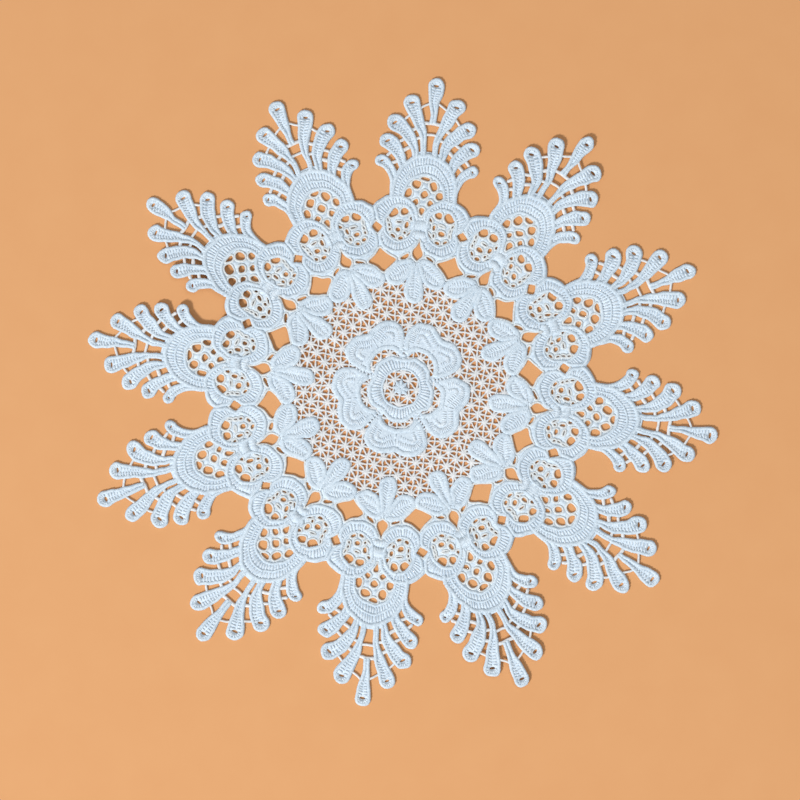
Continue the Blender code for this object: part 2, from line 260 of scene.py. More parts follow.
def strayed(plan):
    """Plan points of the mat with the unevenness of real lace."""
    moved = plan.copy()
    for length, heading, start, size in STRAY:
        way = np.array((math.cos(math.radians(heading)), math.sin(math.radians(heading))))
        phase = plan @ way * 2 * math.pi / length + start
        bend_x, bend_y = STRAY_BEND * np.sin(plan / BEND_LENGTHS).T
        moved[:, 0] += size * np.sin(phase + bend_y)
        moved[:, 1] += size * np.cos(CROSS_RATE * phase + bend_x)
    return moved


def mirrored(line):
    return line * (-1.0, 1.0)


def both_sides(line):
    """A line and its mirror image, or the line alone where its middle is on the fan's line."""
    on_the_line = abs(line[:, 0].mean()) < 0.3
    return [line] if on_the_line else [line, mirrored(line)]


def finger_edge(rows, inset, step):
    """Once round a finger, from foot to foot, at a distance inside its edge."""
    line = smooth_line(rows, step)
    sideways = left_of(line) * (line[:, 2:] - inset)
    left, right = line[:, :2] + sideways, line[:, :2] - sideways
    ahead = line[-1, :2] - line[-2, :2]
    radius = line[-1, 2] - inset
    turns = np.linspace(-math.pi / 2, math.pi / 2, max(6, int(math.pi * radius / step)))[1:-1]
    turns += math.atan2(ahead[1], ahead[0])
    head = line[-1, :2] + radius * np.column_stack((np.cos(turns), np.sin(turns)))
    return np.concatenate((right, head, left[::-1]))


def oval(middle, half, step, lean=0.0, square=2.0, taper=0.0):
    """A closed oval. Above 2, square gives it corners."""
    count = max(8, round(math.pi * (half[0] + half[1]) / step))
    turn = np.arange(count) * 2 * math.pi / count
    out = np.sign(np.cos(turn)) * np.abs(np.cos(turn)) ** (2 / square)
    across = np.sign(np.sin(turn)) * np.abs(np.sin(turn)) ** (2 / square)
    across *= half[0] * (1.0 + 0.5 * taper * out)
    tip, side = half[1] * out, math.radians(lean)
    u = middle[0] + across * math.cos(side) + tip * math.sin(side)
    return np.column_stack((u, middle[1] + tip * math.cos(side) - across * math.sin(side)))


def whole(right):
    """A closed line from its right half, which begins and ends on the line in the middle."""
    return np.concatenate((right, mirrored(right[-2:0:-1])))


def drawn_hole(rows, step):
    """A hole with drawn-in sides, from rows of (distance, half width)."""
    return whole(smooth_line([(half, far) for far, half in rows], step))


def fan_holes(step):
    """The holes of one fan, each in its plan points."""
    found = []
    for u, v, across, along, lean, square, taper in HOLES:
        found += both_sides(oval((u, v), (across / 2, along / 2), step, lean, square, taper))
    found.append(drawn_hole(KITE, step))
    for rows in (DIAMOND, SQUARE):
        found += both_sides(between_fans(drawn_hole(rows, step)))
    return found


def eyelets(step):
    """The slits in the heads of one fan's fingers, shorter in a smaller head."""
    found = []
    for rows in FINGERS:
        ahead = math.degrees(math.atan2(rows[-1][0] - rows[-2][0], rows[-1][1] - rows[-2][1]))
        half = np.array(EYELET) / 2 * min(1.0, (rows[-1][2] / FULL_HEAD) ** 1.5)
        found += both_sides(oval(rows[-1][:2], half, step, EYELET_TURN * ahead))
    return found


def petal_edge(step):
    turns = [math.radians(turn) for turn, _ in PETAL_EDGE]
    half = [(r * math.sin(turn), r * math.cos(turn)) for turn, (_, r) in zip(turns, PETAL_EDGE)]
    return whole(smooth_line(half, step))


def inset(ring, distance):
    """A closed line moved inwards, or outwards where the distance is less than 0."""
    x, y = ring.T
    area = (x * np.roll(y, -1) - np.roll(x, -1) * y).sum()
    return ring + left_of(ring, closed=True) * distance * np.sign(area)


def holds(ring, points):
    """Which of the points lie inside a ring."""
    start, end = ring, np.roll(ring, -1, 0)
    x, y = points[:, :1], points[:, 1:2]
    spans = (start[:, 1] > y) != (end[:, 1] > y)
    rise = end[:, 1] - start[:, 1]
    rise = np.where(rise == 0.0, 1e-9, rise)
    cross = start[:, 0] + (y - start[:, 1]) * (end[:, 0] - start[:, 0]) / rise
    return (spans & (cross > x)).sum(1) % 2 == 1


def cut_sheet(bands, holes, within=()):
    """Triangles over everything inside the bands, less the holes: points and faces."""
    rings = [*bands, *holes, *within]
    points = np.concatenate(rings)
    edges, first = [], 0
    for ring in rings:
        edges += [(first + i, first + (i + 1) % len(ring)) for i in range(len(ring))]
        first += len(ring)
    flat = [Vector(point) for point in points]
    made, _, faces, _, _, _ = delaunay_2d_cdt(flat, edges, [], 0, 1e-4)
    made, faces = np.array(made), np.array([face for face in faces if len(face) == 3])
    middles = made[faces].mean(1)
    kept = np.zeros(len(faces), bool)
    for ring in bands:
        kept |= holds(ring, middles)
    for ring in holes:
        kept &= ~holds(ring, middles)
    for ring in within:
        kept &= holds(ring, middles)
    return made, faces[kept]


def twice_area(points, faces):
    """Twice the plan area of each triangle, below 0 where the triangle faces down."""
    a, b, c = (points[faces[:, k]] for k in range(3))
    return (b - a)[:, 0] * (c - a)[:, 1] - (b - a)[:, 1] * (c - a)[:, 0]


def facing_up(points, faces):
    """The triangles all turned upwards, without those that have no area."""
    areas = twice_area(points, faces)
    real = np.abs(areas) > 1e-7
    return np.where((areas[real] < 0)[:, None], faces[real][:, ::-1], faces[real])


def added(name, data):
    """A new object in the scene, of a mesh, a lamp or a camera."""
    made = bpy.data.objects.new(name, data)
    bpy.context.scene.collection.objects.link(made)
    return made


def piece_from(name, points, faces, strands=None):
    """A finished object of triangles, from points in millimetres. Strands are its UVs, one at
    each point: millimetres across the threads and along them."""
    mesh = bpy.data.meshes.new(name)
    corners = faces.ravel()
    mesh.vertices.add(len(points))
    mesh.vertices.foreach_set("co", (points * MM).astype(np.float32).ravel())
    mesh.loops.add(len(corners))
    mesh.loops.foreach_set("vertex_index", corners.astype(np.int32))
    mesh.polygons.add(len(faces))
    mesh.polygons.foreach_set("loop_start", np.arange(0, len(corners), 3, dtype=np.int32))
    mesh.polygons.foreach_set("loop_total", np.full(len(faces), 3, np.int32))
    mesh.update(calc_edges=True)
    if strands is not None:
        layer = mesh.uv_layers.new(name="strands")
        layer.uv.foreach_set("vector", strands[corners].astype(np.float32).ravel())
    mesh.validate()
    mesh.shade_smooth()
    return added(name, mesh)


# One fan is drawn and cut, in a sector that reaches from inside the leaves to past the tips,
# and is then laid twelve times.
SECTOR = (40.0, 240.0)
side = between_fans(np.array([(0.0, radius) for radius in SECTOR]))
fan_sector = np.concatenate((side, mirrored(side[::-1])))

fan_bands = []
for rows in FINGERS:
    fan_bands += both_sides(finger_edge(rows, 0.0, BAND_STEP))
fan_bands.append(oval((0.0, ARCH_MIDDLE), ARCH_EDGE, BAND_STEP))
fan_bands.append(np.array(FEET))
fan_bands += both_sides(oval(WHEEL_MIDDLE, (WHEEL_EDGE, WHEEL_EDGE), BAND_STEP))
sprig = [smooth_line(MIDDLE_LEAF, LEAF_STEP, closed=True)]
sprig += both_sides(smooth_line(SIDE_LEAF, LEAF_STEP, closed=True))
sprig += both_sides(np.array(TIES))
leaf_pads = []
for edge in (MIDDLE_LEAF, SIDE_LEAF):
    leaf_pads += both_sides(inset(smooth_line(edge, PAD_STEP, closed=True), LEAF_BORDER))
fan_openings = fan_holes(HOLE_STEP) + eyelets(SLIT_STEP)
fan_points, fan_faces = cut_sheet(fan_bands + sprig + leaf_pads, fan_openings, [fan_sector])

sheets = [(placed, fan_faces) for placed in on_every_fan(fan_points)]
petals = [in_flower(heading, petal_edge(LEAF_STEP)) for heading in PETALS]
petal_pad = whole(smooth_line(PETAL_CONTOUR, LEAF_STEP))
petal_pads = [in_flower(heading, petal_pad) for heading in PETALS]
pads = [on_mat(fan, ring) for fan in range(FAN_COUNT) for ring in leaf_pads] + petal_pads


def flower_round(radius, step):
    return in_flower(0.0, oval((0.0, 0.0), (radius, radius), step))


eye, heart = flower_round(EYE_RADIUS, step=1.2), flower_round(HEART_RADIUS, LEAF_STEP)
hub = flower_round(HUB_RADIUS, step=0.8)
crescent = smooth_line(CRESCENT, step=1.0, closed=True)
crescents = [in_flower(heading, crescent) for heading in PETALS]
pinholes = []
for seam in SEAMS:
    for far, wide in SEAM_HOLES:
        pinholes.append(in_flower(seam, oval((0.0, far), (wide / 2, wide / 2), step=0.5)))
sheets.append(cut_sheet(petals + petal_pads + [heart], crescents + pinholes + [eye]))
sheets.append(cut_sheet([hub], []))

# The fans and the flower are welded into one sheet where their points meet. The pads rise from
# just outside their lines, so that the points on the lines rise too.
WELD_GAP, PAD_MARGIN = 0.01, 0.15
plan = np.concatenate([points for points, _ in sheets])
firsts = np.cumsum([0] + [len(points) for points, _ in sheets])
faces = np.concatenate([faces + first for (_, faces), first in zip(sheets, firsts)])
weld = bmesh.new()
corners = [weld.verts.new((x, y, 0.0)) for x, y in plan]
for face in faces:
    weld.faces.new([corners[i] for i in face])
bmesh.ops.remove_doubles(weld, verts=weld.verts, dist=WELD_GAP)
weld.verts.index_update()
plan = np.array([vert.co[:2] for vert in weld.verts])
faces = [[vert.index for vert in face.verts] for face in weld.faces if len(face.verts) == 3]
weld.free()
faces = facing_up(plan, np.array(faces))
used, faces = np.unique(faces, return_inverse=True)
plan, faces = plan[used], faces.reshape(-1, 3)
edges = np.concatenate([faces[:, [0, 1]], faces[:, [1, 2]], faces[:, [2, 0]]])
keys = np.sort(edges, 1) @ (len(plan), 1)
_, at, counts = np.unique(keys, return_index=True, return_counts=True)
rim = edges[at[counts == 1]]
raised = lift(plan)
thick = np.full(len(plan), GROUND_TOP)
for ring in pads + [hub]:
    thick[holds(inset(ring, -PAD_MARGIN), plan)] += PADDING
top = np.column_stack((plan, raised + thick))
under = np.column_stack((plan, raised + GROUND_UNDER))
below = len(plan)
walls = np.concatenate((
    np.column_stack((rim[:, 1], rim[:, 0], rim[:, 0] + below)),
    np.column_stack((rim[:, 1], rim[:, 0] + below, rim[:, 1] + below)),
))
ground_faces = np.concatenate((faces, faces[:, ::-1] + below, walls))
ground = piece_from("stitched_ground", np.concatenate((top, under)), ground_faces)


def linear(hex_colour):
    """An sRGB hex colour as the linear values that a shader takes."""
    parts = [int(hex_colour[i : i + 2], 16) / 255 for i in (1, 3, 5)]
    parts = [c / 12.92 if c <= 0.04045 else ((c + 0.055) / 1.055) ** 2.4 for c in parts]
    return (*parts, 1.0)


def node(tree, kind, values=None, links=None, **settings):
    """One shader node with its input values, what is linked into it and its settings."""
    made = tree.nodes.new("ShaderNode" + kind)
    for name, value in settings.items():
        setattr(made, name, value)
    for name, value in (values or {}).items():
        made.inputs[name].default_value = value
    for name, source in (links or {}).items():
        tree.links.new(source, made.inputs[name])
    return made


# Stitches lie in clumps of about 1.3 mm, and the whole mat is uneven in tone over 18 mm.
CLUMP_MM, PATCH_MM = 1.282, 18.18
# The bands of a wave pattern at scale 1 are this far apart.
WAVE_PERIOD = 0.314


def polyester_thread(name, light, shade, strand_mm, relief):
    """Bright polyester embroidery thread, satin stitched: a soft sheen over fine strands, and
    a faint mottle where the stitches take the light differently. The strands of the real
    thread are 0.2 mm apart, and strand_mm draws them coarser so that they show."""
    material = bpy.data.materials.new(name)
    material.use_nodes = True
    tree = material.node_tree
    tree.nodes.clear()
    place = node(tree, "TexCoord").outputs["Object"]
    clumps = node(
        tree, "TexNoise", {"Scale": 1.0 / (CLUMP_MM * MM), "Detail": 2.0, "Roughness": 0.6},
        {"Vector": place},
    )
    patches = node(
        tree, "TexNoise", {"Scale": 1.0 / (PATCH_MM * MM), "Detail": 2.0}, {"Vector": place},
    )
    mottle = node(
        tree, "Math", {1: 0.3}, {0: patches.outputs["Fac"], 2: clumps.outputs["Fac"]},
        operation="MULTIPLY_ADD",
    )
    # Nearly all of the mottle lies between these two places of the ramp.
    tone = node(tree, "ValToRGB", links={"Fac": mottle.outputs[0]})
    tone.color_ramp.elements[0].position = 0.45
    tone.color_ramp.elements[0].color = linear(shade)
    tone.color_ramp.elements[1].position = 0.78
    tone.color_ramp.elements[1].color = linear(light)
    strands = node(tree, "UVMap", uv_map="strands")
    lines = node(
        tree, "TexWave",
        {"Scale": WAVE_PERIOD / strand_mm, "Distortion": 1.2, "Detail": 1.0, "Detail Scale": 1.5},
        {"Vector": strands.outputs["UV"]}, bands_direction="X",
    )
    fuzz = node(
        tree, "Math", {1: 0.6}, {0: clumps.outputs["Fac"], 2: lines.outputs["Fac"]},
        operation="MULTIPLY_ADD",
    )
    bump = node(
        tree, "Bump", {"Strength": relief, "Distance": 0.0002}, {"Height": fuzz.outputs[0]},
    )
    shader = node(
        tree, "BsdfPrincipled",
        {"Roughness": 0.68, "IOR": 1.55, "Sheen Weight": 0.25, "Sheen Roughness": 0.4},
        {"Base Color": tone.outputs["Color"], "Normal": bump.outputs["Normal"]},
    )
    node(tree, "OutputMaterial", links={"Surface": shader.outputs["BSDF"]})
    return material


def stitched_in(piece, thread):
    """Gives a piece its thread, and makes it stand for the mat."""
    piece.data.materials.append(thread)
    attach(piece, "root")
    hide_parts("lace_mat")


# The ground's thread is darker than the stitches' thread. This is painted shade, so that the
# narrow slits where the ground shows between the stitches look shaded.
stitched_in(ground, polyester_thread("ground_thread_painted_slit_shade", "#E0EEF9", "#C3D3E2", 0.5, 0.6))


# The rims.
# Smooth bright borders round every finger, arch, wheel, leaf, petal and hole. Each is several
# threads laid along the line and covered by a close satin stitch, so it is the highest place,
# and it is sewn down on the edge of the ground.

# Each section is half the width, half the height and the height of the middle.
FINGER_RIM = (1.15, 0.65, 1.15)
ARCH_RIM = (1.65, 0.65, 1.15)
FINE_RIM = (0.85, 0.6, 1.15)
LATTICE_RIM = (1.1, 0.65, 1.15)
WHEEL_RIM = (1.3, 0.65, 1.15)
LEAF_RIM = (1.7, 0.65, 1.15)
PETAL_RIM = (1.8, 0.65, 1.1)
EYE_RIM = (0.75, 0.6, 1.15)
HOLE_RIM = (0.75, 0.6, 1.0)
# How far the middle of a rim lies inside the edge that it borders, or outside a hole.
FINGER_RIM_IN, LEAF_RIM_IN, PETAL_RIM_IN, EYE_RIM_OUT, HOLE_RIM_OUT = 1.1, 1.6, 1.7, 0.7, 0.5
ARCH_RIMS = (
    # half across and half along, section, ends in degrees from the fan's line
    ((19.0, 25.0), ARCH_RIM, 101.0),
    ((15.1, 18.7), FINE_RIM, 101.0),
    ((12.35, 13.2), LATTICE_RIM, 106.0),
)
# The arch lies over the fingers' feet: half across and half along what it covers, and how far
# below its middle it ends.
ARCH_COVER, ARCH_FOOT = (19.0, 24.2), 30.0
WHEEL_LINE = (
    (1.9, 90.2), (3.2, 87.0), (5.6, 84.7), (9.0, 83.0), (13.2, 82.2), (17.2, 82.8),
    (20.5, 84.6), (22.4, 87.6), (23.2, 90.9), (22.4, 94.0), (21.2, 96.8), (23.6, 98.8),
    (25.6, 101.0), (26.6, 104.0), (27.5, 107.4), (23.6, 111.8), (18.8, 114.8), (13.4, 115.6),
    (9.2, 114.2), (5.6, 111.3), (3.2, 107.6), (2.0, 103.9),
)
# The oval field of holes in a wheel. Its rim grows wider outwards, by a share of the distance.
WHEEL_FIELD = ((12.6, 99.5), (9.1, 11.2))
FIELD_RIM, FIELD_RIM_GROWTH = (1.05, 0.6, 1.15), 0.03
# The soft borders along the inner edge of a petal and along a lobe of the ring: half of each
# line, and its section.
PETAL_FOOT = (
    ((11.2, 18.4), (9.7, 21.6), (7.4, 24.0), (4.0, 25.7), (0.0, 26.5)), (1.6, 0.6, 1.1),
)
LOBE = (((9.9, 13.4), (8.0, 15.6), (5.6, 17.6), (3.0, 18.7), (0.0, 19.0)), (1.2, 0.55, 1.15))
# The hub is a star of eight short thick cords that lie over one another in the middle.
HUB_RAY = ((0.3, 1.2, 2.4, 3.6, 4.8), (np.array((0.6, 1.0, 1.25, 0.9, 0.6)), 0.5, 1.3))
# The knot where the two wheels of a fan are stitched to each other, with a slit across it.
KNOT = (
    (((-3.6, 93.3), (0.0, 94.2), (3.6, 93.3)), (2.6, 0.45, 1.1)),
    (((-4.4, 99.0), (0.0, 99.9), (4.4, 99.0)), (3.7, 0.45, 1.15)),
    (((-2.6, 103.2), (0.0, 103.6), (2.6, 103.2)), (1.6, 0.4, 1.1)),
)
# A rim swells between every two of the stitches that cover it, by this share of its section,
# and every thread is uneven by a smaller share. Its ends stand out by a share of its width.
BEADS, BEAD_STEP = 0.13, 0.75
UNEVEN, END_POINT = 0.05, 0.6
unevenness = np.random.default_rng(11)


def cord_piece(name, runs, sides=6, beads=0.0):
    """One object of cords, from runs of (plan line on the mat, section, closed). Beads is the
    share by which a cord is thicker and thinner at every second point."""
    turns = (np.arange(sides) + 0.5) * 2 * math.pi / sides
    ring_way = np.column_stack((np.cos(turns), np.sin(turns)))
    points, quads, caps, strands, first = [], [], [], [], 0
    for line, (half_width, half_height, middle), closed in runs:
        count = len(line)
        swelling = unevenness.normal(1.0, UNEVEN, count) + beads * (np.arange(count) % 2 * 2 - 1)
        half_widths = half_width * swelling
        raised = lift(line) + middle
        lengths = np.hypot(*(np.roll(line, -1, 0) - line).T)
        along = np.concatenate(([0.0], np.cumsum(lengths)[:-1]))
        aside = (left_of(line, closed) * half_widths[:, None])[:, None] * ring_way[None, :, :1]
        ring = np.zeros((count, sides, 3))
        ring[:, :, :2] = line[:, None] + aside
        ring[:, :, 2] = raised[:, None] + half_height * swelling[:, None] * ring_way[:, 1]
        points.append(ring.reshape(-1, 3))
        around = (half_widths[:, None] * turns).ravel()
        strands.append(np.column_stack((np.repeat(along, sides), around)))
        i = np.arange(count if closed else count - 1)[:, None]
        k = np.arange(sides)[None]
        here, there = first + i * sides, first + (i + 1) % count * sides
        after = (k + 1) % sides
        square = np.stack((here + k, here + after, there + after, there + k), -1)
        quads.append(square.reshape(-1, 4))
        for end, inner in () if closed else ((0, 1), (-1, -2)):
            run = line[end] - line[inner]
            tip = line[end] + END_POINT * half_widths[end] * run / np.hypot(*run)
            points.append(np.array(((*tip, raised[end]),)))
            strands.append(np.array(((along[end], 0.0),)))
            row = first + end % count * sides + np.arange(sides)
            apex = np.full(sides, first + count * sides - end)
            pair = (row, np.roll(row, -1)) if end else (np.roll(row, -1), row)
            caps.append(np.column_stack((apex, *pair)))
        first += count * sides + (0 if closed else 2)
    quads = np.concatenate(quads)
    faces = np.concatenate([quads[:, [0, 1, 2]], quads[:, [0, 2, 3]]] + caps)
    return piece_from(name, np.concatenate(points), faces, np.concatenate(strands))


def arc(middle, half, start, end, step):
    """Part of an oval, between two headings in degrees."""
    length = math.radians(end - start) * (half[0] + half[1]) / 2
    turn = np.radians(np.linspace(start, end, max(4, round(length / step))))
    u = middle[0] + half[0] * np.sin(turn)
    return np.column_stack((u, middle[1] + half[1] * np.cos(turn)))


def everywhere(lines, section, closed=False):
    """Runs of one fan's lines, laid on all the fans and on both sides of each."""
    runs = []
    for line in lines:
        for half in both_sides(line):
            runs += [(placed, section, closed) for placed in on_every_fan(half)]
    return runs


def from_arch(line):
    """How far points are from the arch's middle. At 1 they leave what it covers."""
    return np.hypot(line[:, 0] / ARCH_COVER[0], (line[:, 1] - ARCH_MIDDLE) / ARCH_COVER[1])


def off_the_arch(line):
    """The stretch of a finger's rim that lies outside the arch."""
    below = line[:, 1] < ARCH_MIDDLE - ARCH_FOOT
    outside = np.flatnonzero((from_arch(line) > 1.0) | below)
    return line[outside[0] : outside[-1] + 1]


finger_rims = [off_the_arch(finger_edge(rows, FINGER_RIM_IN, BEAD_STEP)) for rows in FINGERS]
arch_runs = []
for half, section, until in ARCH_RIMS:
    arch = arc((0.0, ARCH_MIDDLE), half, -until, until, BEAD_STEP)
    arch_runs += everywhere([arch], section)
arch_runs += everywhere([smooth_line(WHEEL_LINE, BEAD_STEP)], WHEEL_RIM)
for line, section in KNOT:
    arch_runs += everywhere([smooth_line(line, BEAD_STEP)], section)
field = oval(*WHEEL_FIELD, BEAD_STEP)
outwards = np.clip(field[:, 1] - WHEEL_FIELD[0][1], -8.0, 11.0)
field_width = FIELD_RIM[0] + FIELD_RIM_GROWTH * outwards
arch_runs += everywhere([field], (field_width,) + FIELD_RIM[1:], closed=True)

leaf_runs = []
for edge in (MIDDLE_LEAF, SIDE_LEAF):
    line = inset(smooth_line(edge, BEAD_STEP, closed=True), LEAF_RIM_IN)
    leaf_runs += everywhere([line], LEAF_RIM, closed=True)
petal_line = petal_edge(BEAD_STEP)
petal_line = petal_line[np.argsort(np.arctan2(petal_line[:, 0], petal_line[:, 1]))]
# The petal's rim stops short of its foot, by four points at each end.
petal_line = (petal_line - PETAL_RIM_IN * left_of(petal_line))[4:-4]
petal_runs = []
for heading in PETALS:
    petal_runs.append((in_flower(heading, petal_line), PETAL_RIM, False))
    for half, section in (PETAL_FOOT, LOBE):
        line = smooth_line(half, BEAD_STEP)
        line = np.concatenate((line, mirrored(line[-2::-1])))
        petal_runs.append((in_flower(heading, line), section, False))
petal_runs.append((flower_round(EYE_RADIUS + EYE_RIM_OUT, step=1.2), EYE_RIM, True))
for angle in np.radians(FIRST_FAN + np.arange(0.0, 360.0, 45.0)):
    ray = np.outer(HUB_RAY[0], (math.sin(angle), math.cos(angle)))
    petal_runs.append((in_flower(0.0, ray), HUB_RAY[1], False))

hole_runs = []
for ring in fan_holes(step=1.0):
    ring = inset(ring, -HOLE_RIM_OUT)
    hole_runs += [(placed, HOLE_RIM, True) for placed in on_every_fan(ring)]

cords = [
    cord_piece("finger_rims", everywhere(finger_rims, FINGER_RIM), beads=BEADS),
    cord_piece("arch_and_wheel_rims", arch_runs, beads=BEADS),
    cord_piece("leaf_and_petal_rims", leaf_runs + petal_runs, sides=8, beads=BEADS),
    cord_piece("hole_rims", hole_runs, sides=5),
]
satin = polyester_thread("satin_stitched_cord", "#E3F2FE", "#C6D8E7", 0.7, 0.7)
for piece in cords[:3]:
    stitched_in(piece, satin)
# The threads round the holes are tinted warmer and greyer than the other cords. This is a painted
# reflection of the tan table's light through the holes.
stitched_in(cords[3], polyester_thread("hole_rim_thread_painted_table_light", "#EBEFF0", "#CBD3D7", 0.6, 0.35))


# The rows of raised stitches.
# Between the rims every band is filled with bars of satin stitch, side by side like the rungs
# of a ladder. Each is a little pad of thread that is sewn across the band.

STITCH_PITCH, STITCH_WIDTH, STITCH_HEIGHT = 1.75, 1.32, 0.68
# By how much the ends of a stitch stray, and between which shares its width and height vary.
STITCH_STRAY, WIDTHS, HEIGHTS = 0.1, (0.88, 1.1), (0.75, 1.15)
# The fingers' stitches are wider. They run from a little beside the finger's line into its
# rim where there is room and the arch is clear, and they fan out in the head, from the slit.
FINGER_STITCH, RIM_ROOM, LEAST_ROOM, ARCH_CLEAR = 1.45, 1.5, 0.9, 1.04
LINE_GAP, RIM_OVERLAP, HEAD_GAP, HEAD_RIM = 0.25, 0.5, 1.5, 1.0
HEAD_TURNS = np.arange(-78.0, 79.0, 26.0)


def modelled_stitch():
    """One stitch, 2 units wide, long and high, as points and faces."""
    bpy.ops.object.select_all(action="DESELECT")
    bpy.ops.mesh.primitive_uv_sphere_add(segments=6, ring_count=4, radius=1.0)
    made = bpy.context.object
    bpy.ops.object.mode_set(mode="EDIT")
    bpy.ops.mesh.select_all(action="SELECT")
    bpy.ops.transform.rotate(value=math.pi / 2, orient_axis="X", center_override=(0, 0, 0))
    bpy.ops.mesh.quads_convert_to_tris()
    bpy.ops.object.mode_set(mode="OBJECT")
    points = np.array([vertex.co for vertex in made.data.vertices])
    faces = np.array([list(face.vertices) for face in made.data.polygons])
    bpy.data.objects.remove(made, do_unlink=True)
    return points, faces


stitch_points, stitch_faces = modelled_stitch()
chance = np.random.default_rng(7)


def stitch_piece(name, starts, ends, width=STITCH_WIDTH, height=STITCH_HEIGHT, foot=GROUND_TOP):
    """One object of stitches, each from its start to its end on the mat."""
    starts, ends = np.concatenate(starts), np.concatenate(ends)
    starts = starts + chance.normal(0.0, STITCH_STRAY, starts.shape)
    ends = ends + chance.normal(0.0, STITCH_STRAY, ends.shape)
    middle, run = (starts + ends) / 2, ends - starts
    length = np.hypot(run[:, 0], run[:, 1])
    run = run / length[:, None]
    left = np.column_stack((-run[:, 1], run[:, 0]))
    wide = width / 2 * chance.uniform(*WIDTHS, len(run))
    high = height * chance.uniform(*HEIGHTS, len(run))
    x, y, z = stitch_points.T
    half = length / 2
    body = np.maximum(half - wide, 0.0)[:, None] * np.sign(y) * (np.abs(y) > 0.01)
    longways = body + y * np.minimum(wide, half)[:, None]
    across = x * wide[:, None]
    points = np.zeros((len(run), len(x), 3))
    points[:, :, :2] = middle[:, None] + run[:, None] * longways[..., None]
    points[:, :, :2] += left[:, None] * across[..., None]
    points[:, :, 2] = (lift(middle) + foot)[:, None] + z * high[:, None]
    faces = stitch_faces[None] + (np.arange(len(run)) * len(x))[:, None, None]
    strands = np.stack((across, longways), -1).reshape(-1, 2)
    return piece_from(name, points.reshape(-1, 3), faces.reshape(-1, 3), strands)


def laid(pairs):
    """Pairs of starts and ends of one fan's right half, laid on both halves of every fan."""
    starts, ends = [], []
    for start, end in pairs:
        for flip in ((1.0, 1.0), (-1.0, 1.0)):
            starts += on_every_fan(start * flip)
            ends += on_every_fan(end * flip)
    return starts, ends


finger_pairs = []
for rows in FINGERS:
    line = smooth_line(rows, STITCH_PITCH)
    left = left_of(line)
    room = line[:, 2] - RIM_ROOM
    shown = (room > LEAST_ROOM) & (from_arch(line) > ARCH_CLEAR)
    shown[:2] = shown[-1:] = False
    # The middle finger is mirrored as it is laid, so half of it is enough.
    halved = rows[0][0] == 0.0
    for sign in (1.0,) if halved else (1.0, -1.0):
        inner = line[:, :2] + left * LINE_GAP * sign
        outer = line[:, :2] + left * (room[:, None] + RIM_OVERLAP) * sign
        finger_pairs.append((inner[shown], outer[shown]))
    ahead = math.degrees(math.atan2(line[-1, 0] - line[-2, 0], line[-1, 1] - line[-2, 1]))
    turns = np.radians(ahead + (HEAD_TURNS[HEAD_TURNS >= -1.0] if halved else HEAD_TURNS))
    ways = np.column_stack((np.sin(turns), np.cos(turns)))
    head = np.array(rows[-1][:2])
    finger_pairs.append((head + ways * HEAD_GAP, head + ways * (rows[-1][2] - HEAD_RIM)))
finger_stitches = stitch_piece("finger_stitches", *laid(finger_pairs), width=FINGER_STITCH)


# The arch's two bands, each between an inner and an outer oval, half across and half along,
# and how far down each side they are stitched, in degrees.
ARCH_BANDS = (((15.5, 19.1), (18.3, 24.0)), ((12.8, 13.7), (14.8, 18.2)))
ARCH_STITCHED = 100.0
# The wheels are stitched round, a stitch at every turn of this many degrees, but not where
# the knot is. The stitches keep clear of both rims, and stay between these two lengths.
WHEEL_TURN, WHEEL_GAP, WHEEL_CLEAR, WHEEL_LENGTHS = 7.4, (-120.0, -60.0), (0.3, 0.6), (1.5, 5.6)
# The stitches across a knot: where they start, pitch, and half length as a share of its width.
KNOT_START, KNOT_PITCH, KNOT_SHARE = 0.8, 1.5, 0.8


def arch_stitches_between(inner, outer):
    """Stitches of the arch between two ovals, spaced evenly along the band."""
    mean = ((inner[0] + outer[0]) / 2, (inner[1] + outer[1]) / 2)
    fine = arc((0.0, 0.0), mean, 0.0, ARCH_STITCHED, step=0.2)
    along = np.concatenate(([0.0], np.cumsum(np.hypot(*np.diff(fine, axis=0).T))))
    count = round(along[-1] / STITCH_PITCH)
    at = (np.arange(count) + 0.5) * along[-1] / count
    turn = np.radians(np.interp(at, along, np.linspace(0.0, ARCH_STITCHED, len(fine))))
    ways = np.column_stack((np.sin(turn), np.cos(turn)))
    middle = np.array((0.0, ARCH_MIDDLE))
    return middle + ways * inner, middle + ways * outer


def from_wheel(line, headings):
    """How far a closed line lies from the wheel's middle, at headings in degrees."""
    u, v = (line - WHEEL_MIDDLE).T
    at = np.degrees(np.arctan2(u, v))
    order = np.argsort(at)
    return np.interp(headings, at[order], np.hypot(u, v)[order], period=360.0)


arch_pairs = [arch_stitches_between(*ovals) for ovals in ARCH_BANDS]
headings = np.arange(-180.0, 180.0, WHEEL_TURN)
inner = from_wheel(oval(*WHEEL_FIELD, step=0.5), headings) + WHEEL_CLEAR[0]
outer = from_wheel(smooth_line(WHEEL_LINE, 0.5, closed=True), headings) - WHEEL_CLEAR[1]
shown = (headings > WHEEL_GAP[1]) | (headings < WHEEL_GAP[0])
shown &= outer - inner > WHEEL_LENGTHS[0]
inner, turns = inner[shown], np.radians(headings)[shown]
outer = np.minimum(outer[shown], inner + WHEEL_LENGTHS[1])
ways = np.column_stack((np.sin(turns), np.cos(turns)))
arch_pairs.append((WHEEL_MIDDLE + ways * inner[:, None], WHEEL_MIDDLE + ways * outer[:, None]))
# The knots are sewn over crosswise.
for line, section in KNOT:
    across = np.arange(KNOT_START, line[-1][0], KNOT_PITCH)
    middle = np.interp(across, (line[1][0], line[2][0]), (line[1][1], line[2][1]))
    half = KNOT_SHARE * section[0]
    arch_pairs.append([np.column_stack((across, middle + end)) for end in (-half, half)])
arch_stitches = stitch_piece("arch_and_wheel_stitches", *laid(arch_pairs))


# How far the stitches of a leaf keep from its vein, and the least half width of a leaf that
# takes a stitch.
VEIN_GAP, LEAST_HALF = 0.3, 1.0


